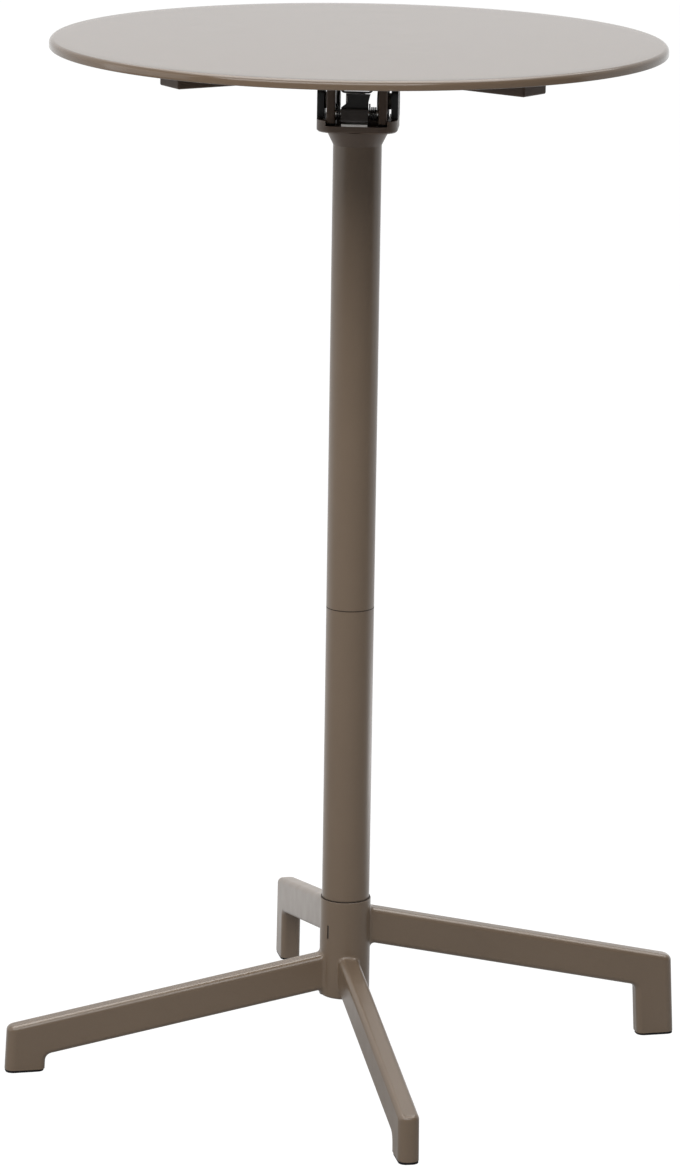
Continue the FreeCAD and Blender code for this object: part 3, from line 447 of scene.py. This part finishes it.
class BARTABLE_OT_tabletop(bpy.types.Operator):
    """Makes the pressed sheet of the tabletop"""
    bl_idname = "bartable.tabletop"
    bl_label = "Tabletop"

    def execute(self, context):
        settings = context.scene.bar_table.top
        low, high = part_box("tabletop")
        wall, bend = settings.sheet_wall, settings.rim_round
        top, hem, under = high[2], low[2], high[2] - wall
        flat = TOP_RADIUS - bend
        profile = np.concatenate([
            level_run(0, flat, top, FLAT_POINTS)[:-1],
            arc((flat, top - bend), bend, 90, 0, BEND_POINTS),
            arc((TOP_RADIUS - wall / 2, hem + wall / 2), wall / 2, 0, -180, HEM_POINTS),
            arc((flat, top - bend), bend - wall, 0, 90, INNER_BEND_POINTS),
            level_run(flat, 0, under, FLAT_POINTS)[1:],
        ])
        piece = surface("tabletop_sheet", lathe(profile, settings.segments), "tabletop_coat")
        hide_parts("tabletop")
        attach(piece, "top")
        return {"FINISHED"}


class BARTABLE_OT_underframe(bpy.types.Operator):
    """Finishes the arms, bracket and posts with their screws, bushes and caps"""
    bl_idname = "bartable.underframe"
    bl_label = "Underframe"

    def execute(self, context):
        # Painted shade: the arms, bosses, bracket and posts get a darker copy of the frame coat for the
        # shade under the tabletop.
        dress("arm_front_left", "arm_front_right", "arm_back_left", "arm_back_right", "top_bosses",
              "bracket_plate", "post_left", "post_right", finish="underframe_coat")
        dress("arm_screws", "bracket_screws", "bracket_nuts", "pivot_bushes", "pivot_caps")
        return {"FINISHED"}


class BARTABLE_OT_latch(bpy.types.Operator):
    """Finishes the latch, its pin, springs and keeper"""
    bl_idname = "bartable.latch"
    bl_label = "Latch"

    def execute(self, context):
        dress("latch_lever", "latch_paddle", "latch_pin", "latch_springs", "keeper_wire")
        return {"FINISHED"}


class BARTABLE_OT_head(bpy.types.Operator):
    """Finishes the head with its ears, pivot screws, strike plate and stops"""
    bl_idname = "bartable.head"
    bl_label = "Head"

    def execute(self, context):
        # Painted shade: the head socket gets a darker copy of the frame coat for the shade under the
        # tabletop.
        dress("head_socket", finish="head_coat")
        dress("ear_left", "ear_right", "ear_screws", "pivot_screws", "strike_plate", "strike_screws",
              "stop_bumpers")
        return {"FINISHED"}


class BARTABLE_OT_column(bpy.types.Operator):
    """Finishes the tubes, their sleeve and the tie rod, and makes dark rings of painted shade in the two
    seams
    """
    bl_idname = "bartable.column"
    bl_label = "Column"

    def execute(self, context):
        settings = context.scene.bar_table.rings
        dress("upper_tube", "lower_tube", "joint_sleeve", "tie_rod", "rod_washer", "rod_nut")
        radius, proud, half = TUBE_RADIUS, settings.proud, settings.groove
        seam_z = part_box("lower_tube")[1][2]
        groove = [(radius - half, seam_z), (radius + proud / 2, seam_z + half), (radius + proud, seam_z),
                  (radius + proud / 2, seam_z - half)]
        hub_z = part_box("hub")[1][2]
        foot, lip = radius + settings.hub_width, hub_z + settings.hub_height
        collar = [(radius, hub_z), (foot, hub_z), (foot - proud, lip), (radius, lip)]
        # Painted shade: dark rings laid in the two seams stand in for the shadow in their gaps.
        for name, corners in (("tube_seam_ring", groove), ("hub_seam_ring", collar)):
            grid = lathe(np.array(corners + corners[:1]), settings.segments)
            piece = surface(name, grid, "taupe_coat", finish="seam_coat")
            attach(piece, "base")
        return {"FINISHED"}


class BARTABLE_OT_base(bpy.types.Operator):
    """Finishes the hub with its plug and key, the legs and the glides"""
    bl_idname = "bartable.base"
    bl_label = "Base"

    def execute(self, context):
        dress("hub", "hub_plug", "index_key")
        for side in ("right", "back", "left", "front"):
            dress(f"leg_{side}")
            dress(f"glide_{side}", finish="glide_nylon")
        return {"FINISHED"}


def math_node(tree, operation, first, second):
    """A math node of two values, each a socket or a number."""
    node = tree.nodes.new("ShaderNodeMath")
    node.operation = operation
    for value, socket in zip((first, second), node.inputs):
        if isinstance(value, (int, float)):
            socket.default_value = value
        else:
            tree.links.new(value, socket)
    return node.outputs["Value"]


def smooth_rise(tree, place, axis, span, low, high):
    """A value that rises smoothly from low to high as one coordinate crosses its span."""
    split = tree.nodes.new("ShaderNodeSeparateXYZ")
    tree.links.new(place, split.inputs["Vector"])
    return remap(tree, split.outputs[axis], span, low, high, interpolation="SMOOTHSTEP")


def seen_share(tree, level):
    """One to the eye, the given level in reflections and nothing to other light."""
    path = tree.nodes.new("ShaderNodeLightPath")
    mirrored = math_node(tree, "MULTIPLY", path.outputs["Is Glossy Ray"], level)
    return math_node(tree, "MAXIMUM", path.outputs["Is Camera Ray"], mirrored)


def light_world(settings):
    """Even light, plain white to the eye. Reflections find a dim eye side and a bright ceiling behind."""
    world = bpy.data.worlds.new("studio")
    world.use_nodes = True
    tree = world.node_tree
    sky = tree.nodes["Background"]
    sky.inputs["Color"].default_value = WHITE
    heading = tree.nodes.new("ShaderNodeTexCoord").outputs["Generated"]
    walls = smooth_rise(tree, heading, "Y", EYE_SIDE_SPAN, settings.eye_side, 1)
    overhead = smooth_rise(tree, heading, "Z", CEILING_HEIGHT_SPAN, 0, settings.ceiling)
    at_back = smooth_rise(tree, heading, "Y", CEILING_BACK_SPAN, 0, 1)
    ceiling = math_node(tree, "MULTIPLY", overhead, at_back)
    seen = seen_share(tree, math_node(tree, "MAXIMUM", walls, ceiling))
    tree.links.new(math_node(tree, "MAXIMUM", seen, settings.ambient), sky.inputs["Strength"])
    bpy.context.scene.world = world


def floor_finish(settings):
    """A pale matt floor that keeps shadows, lifted towards white to the eye and in reflections."""
    finish, tree, shader, place = start_finish("pale_floor")
    drift = noise(tree, place, scale=1.5, detail=3)
    tree.links.new(two_tone(tree, drift, settings.floor_tone, reach=0.01), shader.inputs["Base Color"])
    shader.inputs["Roughness"].default_value = 0.9
    shader.inputs["Specular IOR Level"].default_value = 0.1
    glow = tree.nodes.new("ShaderNodeEmission")
    glow.inputs["Color"].default_value = WHITE
    glow.inputs["Strength"].default_value = GLOW_STRENGTH
    seen = seen_share(tree, smooth_rise(tree, place, "Y", FLOOR_SPAN, settings.eye_side, 1))
    mix = tree.nodes.new("ShaderNodeMixShader")
    tree.links.new(math_node(tree, "MULTIPLY", seen, settings.floor_glow), mix.inputs["Fac"])
    tree.links.new(shader.outputs["BSDF"], mix.inputs[1])
    tree.links.new(glow.outputs["Emission"], mix.inputs[2])
    tree.links.new(mix.outputs["Shader"], tree.nodes["Material Output"].inputs["Surface"])
    return finish


def lay_floor(settings):
    """A flat square floor under the feet."""
    reach = FLOOR_REACH
    corners = [(-reach, -reach, 0), (reach, -reach, 0), (reach, reach, 0), (-reach, reach, 0)]
    mesh = bpy.data.meshes.new("floor")
    mesh.from_pydata(corners, [], [(0, 1, 2, 3)])
    mesh.materials.append(floor_finish(settings))
    floor = bpy.data.objects.new("floor", mesh)
    bpy.context.scene.collection.objects.link(floor)


def softbox(name, place, target, size, power):
    """A rectangular area lamp aimed at a point."""
    lamp = bpy.data.lights.new(name, "AREA")
    lamp.shape = "RECTANGLE"
    lamp.size, lamp.size_y = size
    lamp.energy = power
    holder = bpy.data.objects.new(name, lamp)
    holder.location = place
    aim = Vector(target) - Vector(place)
    holder.rotation_euler = aim.to_track_quat("-Z", "Y").to_euler()
    bpy.context.scene.collection.objects.link(holder)


def camera_matrix(settings):
    """The eye's frame: forward tilts down by pitch and turns by yaw, then all turns about the column."""
    pitch, yaw, roll = settings.pitch, settings.yaw, settings.roll
    forward = Vector((math.sin(yaw) * math.cos(pitch), math.cos(yaw) * math.cos(pitch), -math.sin(pitch)))
    level = Vector((math.cos(yaw), -math.sin(yaw), 0))
    upright = level.cross(forward)
    right = level * math.cos(roll) + upright * math.sin(roll)
    up = upright * math.cos(roll) - level * math.sin(roll)
    axes = Matrix((right, up, -forward)).transposed().to_4x4()
    axes.translation = Vector((0, -settings.distance, settings.eye_height))
    return Matrix.Rotation(settings.azimuth, 4, "Z") @ axes


def place_camera(settings):
    """A camera with a long lens at the eye."""
    lens = bpy.data.cameras.new("camera")
    lens.sensor_fit = "VERTICAL"
    lens.sensor_height = LENS_FRAME
    lens.lens = settings.focal_length
    lens.clip_end = SIGHT_LIMIT
    camera = bpy.data.objects.new("camera", lens)
    camera.matrix_world = camera_matrix(settings)
    bpy.context.scene.collection.objects.link(camera)
    bpy.context.scene.camera = camera


class BARTABLE_OT_stage(bpy.types.Operator):
    """Sets floor, light and camera"""
    bl_idname = "bartable.stage"
    bl_label = "Stage"

    def execute(self, context):
        settings = context.scene.bar_table.stage
        lay_floor(settings)
        light_world(settings)
        for name, box in SOFTBOXES.items():
            softbox(name, power=getattr(settings, name), **box)
        place_camera(settings)
        context.scene.view_settings.view_transform = "Standard"
        return {"FINISHED"}


class BARTABLE_PT_panel(bpy.types.Panel):
    """Lists the pieces of the table and their settings"""
    bl_idname = "BARTABLE_PT_panel"
    bl_label = "Bar table"
    bl_space_type = "VIEW_3D"
    bl_region_type = "UI"
    bl_category = "Bar table"

    def draw(self, context):
        for operator in OPERATORS:
            self.layout.operator(operator.bl_idname)
        settings = context.scene.bar_table
        for group in (settings.coat, settings.fittings, settings.top, settings.rings, settings.stage):
            box = self.layout.box()
            for name in group.__annotations__:
                box.prop(group, name)


SETTINGS = (CoatSettings, FittingSettings, TopSettings, RingSettings, StageSettings, TableSettings)
OPERATORS = (BARTABLE_OT_tabletop, BARTABLE_OT_underframe, BARTABLE_OT_latch, BARTABLE_OT_head,
             BARTABLE_OT_column, BARTABLE_OT_base, BARTABLE_OT_stage)
CLASSES = SETTINGS + OPERATORS + (BARTABLE_PT_panel,)


def register():
    """Registers the settings, operators and panel."""
    for kind in CLASSES:
        bpy.utils.register_class(kind)
    bpy.types.Scene.bar_table = PointerProperty(type=TableSettings)


def unregister():
    """Takes them away again."""
    del bpy.types.Scene.bar_table
    for kind in reversed(CLASSES):
        bpy.utils.unregister_class(kind)


def main():
    """Makes the whole scene."""
    register()
    bpy.ops.bartable.tabletop()
    bpy.ops.bartable.underframe()
    bpy.ops.bartable.latch()
    bpy.ops.bartable.head()
    bpy.ops.bartable.column()
    bpy.ops.bartable.base()
    bpy.ops.bartable.stage()


if __name__ == "__main__":
    main()
